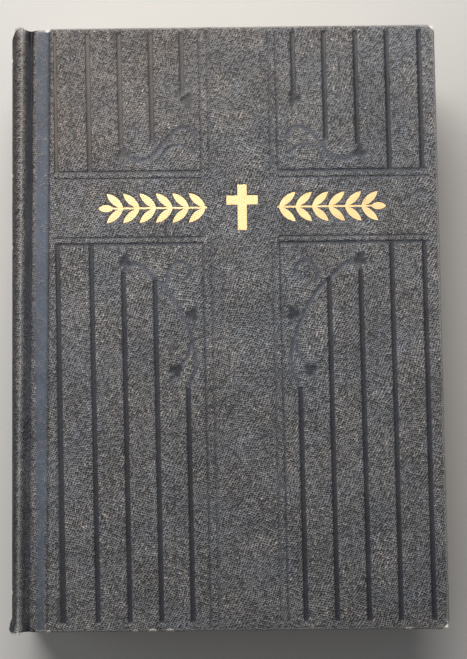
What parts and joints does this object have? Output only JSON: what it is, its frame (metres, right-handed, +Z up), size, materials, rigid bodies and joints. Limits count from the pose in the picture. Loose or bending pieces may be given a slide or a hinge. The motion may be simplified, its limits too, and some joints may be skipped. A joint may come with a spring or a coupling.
{
  "type": "hardcover book",
  "caption": "Thick case-bound devotional book with blind-stamped grained cloth, a gilt cross ornament, sewn leaves, and covers and leaves that open on the fold lines.",
  "frame": {"origin": "middle of the footprint, on the outer face of the back cover that the closed book lies on", "axes": "+X from the spine to the fore edge, +Y from the tail to the head, +Z up out of the front cover"},
  "size_m": [0.14, 0.197, 0.04],
  "materials": {
    "book_cloth": "grained imitation-leather book cloth, blue-black, worn lighter on the edges",
    "gilding": "pale gold foil, slightly worn",
    "board": "grey binder's board",
    "endpaper": "uncoated cream endpaper, lightly foxed",
    "leaves": "thin opaque bible paper, aged cream at the edges",
    "lining": "brown kraft lining paper",
    "mull": "open-weave starched mull",
    "tape": "woven linen tape",
    "thread": "unbleached linen thread",
    "band": "sewn cotton end band"
  },
  "bodies": {
    "lower_block": {"text_section_01": "leaves", "text_section_02": "leaves", "text_section_03": "leaves", "text_section_04": "leaves", "text_section_05": "leaves", "text_section_06": "leaves"},
    "back_flyleaf": {"back_flyleaf": "endpaper"},
    "back_cover": {"back_board": "board", "back_cloth": "book_cloth", "back_pastedown": "endpaper", "back_mull_flap": "mull"},
    "spine": {"spine_cloth": "book_cloth", "spine_inlay": "board", "spine_lining": "lining", "spine_mull": "mull", "sewing_tapes": "tape", "sewing_thread": "thread", "head_band": "band", "tail_band": "band"},
    "upper_block": {"text_section_07": "leaves", "text_section_08": "leaves", "text_section_09": "leaves", "text_section_10": "leaves", "text_section_11": "leaves", "text_section_12": "leaves"},
    "front_flyleaf": {"front_flyleaf": "endpaper"},
    "front_cover": {"front_board": "board", "front_cloth": "book_cloth", "front_pastedown": "endpaper", "front_mull_flap": "mull", "gilt_ornament": "gilding"}
  },
  "joints": [
    {"name": "middle_opening", "type": "hinge", "parent": "lower_block", "child": "spine", "pos_m": [-0.065, 0, -0.00015], "axis": [0, 1, 0], "range_deg": [-90, 0]},
    {"name": "upper_block_fold", "type": "hinge", "parent": "spine", "child": "upper_block", "pos_m": [-0.065, 0, 0.04015], "axis": [0, 1, 0], "range_deg": [-90, 0]},
    {"name": "front_leaf_turn", "type": "hinge", "parent": "upper_block", "child": "front_flyleaf", "pos_m": [-0.065, 0, 0.04015], "axis": [0, 1, 0], "range_deg": [-90, 0]},
    {"name": "front_cover_hinge", "type": "hinge", "parent": "front_flyleaf", "child": "front_cover", "pos_m": [-0.065, 0, 0.04015], "axis": [0, -1, 0], "range_deg": [0, 178]},
    {"name": "back_leaf_turn", "type": "hinge", "parent": "lower_block", "child": "back_flyleaf", "pos_m": [-0.065, 0, -0.00015], "axis": [0, -1, 0], "range_deg": [-90, 0]},
    {"name": "back_cover_hinge", "type": "hinge", "parent": "back_flyleaf", "child": "back_cover", "pos_m": [-0.065, 0, -0.00015], "axis": [0, 1, 0], "range_deg": [0, 178]}
  ],
  "couplings": [
    {"joint": "upper_block_fold", "follows": "middle_opening", "ratio": 1}
  ]
}
